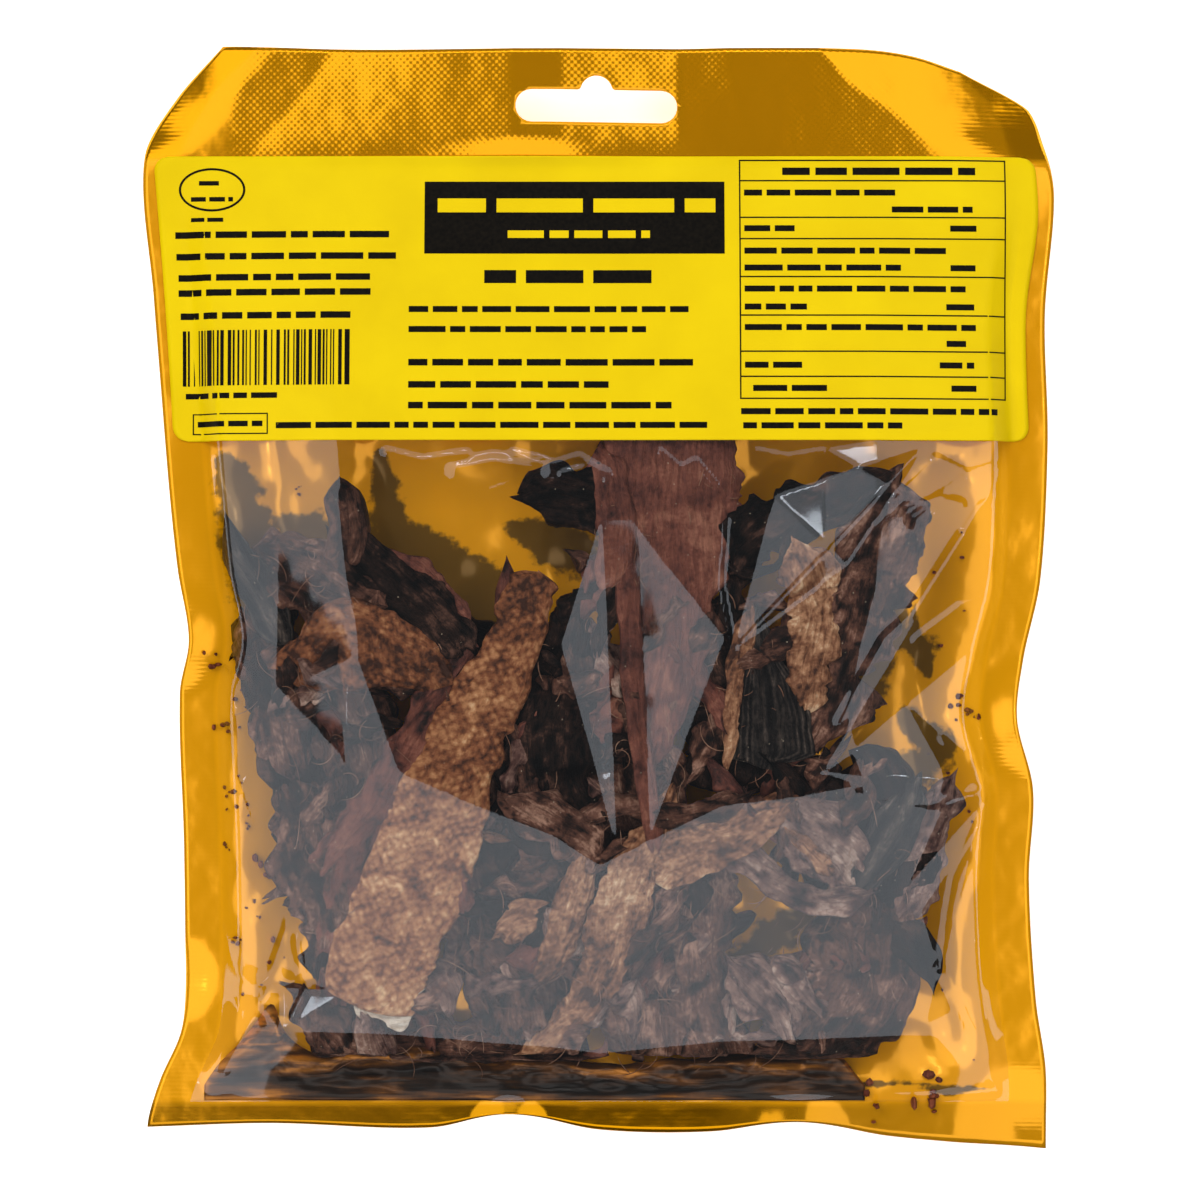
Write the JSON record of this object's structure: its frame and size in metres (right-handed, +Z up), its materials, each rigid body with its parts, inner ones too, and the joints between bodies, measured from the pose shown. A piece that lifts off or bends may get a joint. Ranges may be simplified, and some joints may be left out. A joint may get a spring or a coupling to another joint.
{
  "type": "dried fish pouch",
  "caption": "Sealed retail pouch of dried fish fillet with a clear front film, a gold metallised back, a wide yellow label and a hang hole, lying on its back.",
  "frame": {"origin": "on the surface that the pouch lies on, under the middle of its outline", "axes": "+X to the right as seen from the front, +Y towards the edge with the hang hole, +Z up out of the clear front"},
  "size_m": [0.1812, 0.22, 0.0243],
  "materials": {
    "gold_foil": "gold metallised plastic film, glossy, pressed into ribs and dots where it is heat sealed",
    "clear_film": "clear polypropylene film, glossy, creased by the fish under it",
    "dried_flesh": "dark red-brown dried fish flesh, fibrous and half matt",
    "dried_skin": "tan dried fish skin with raised scale pockets, half matt",
    "label_paper": "yellow coated label paper, slightly glossy",
    "label_ink": "black printing ink"
  },
  "bodies": {
    "root": {"back_foil": "gold_foil", "filled_window": "clear_film", "label": "label_paper"}
  },
  "joints": []
}
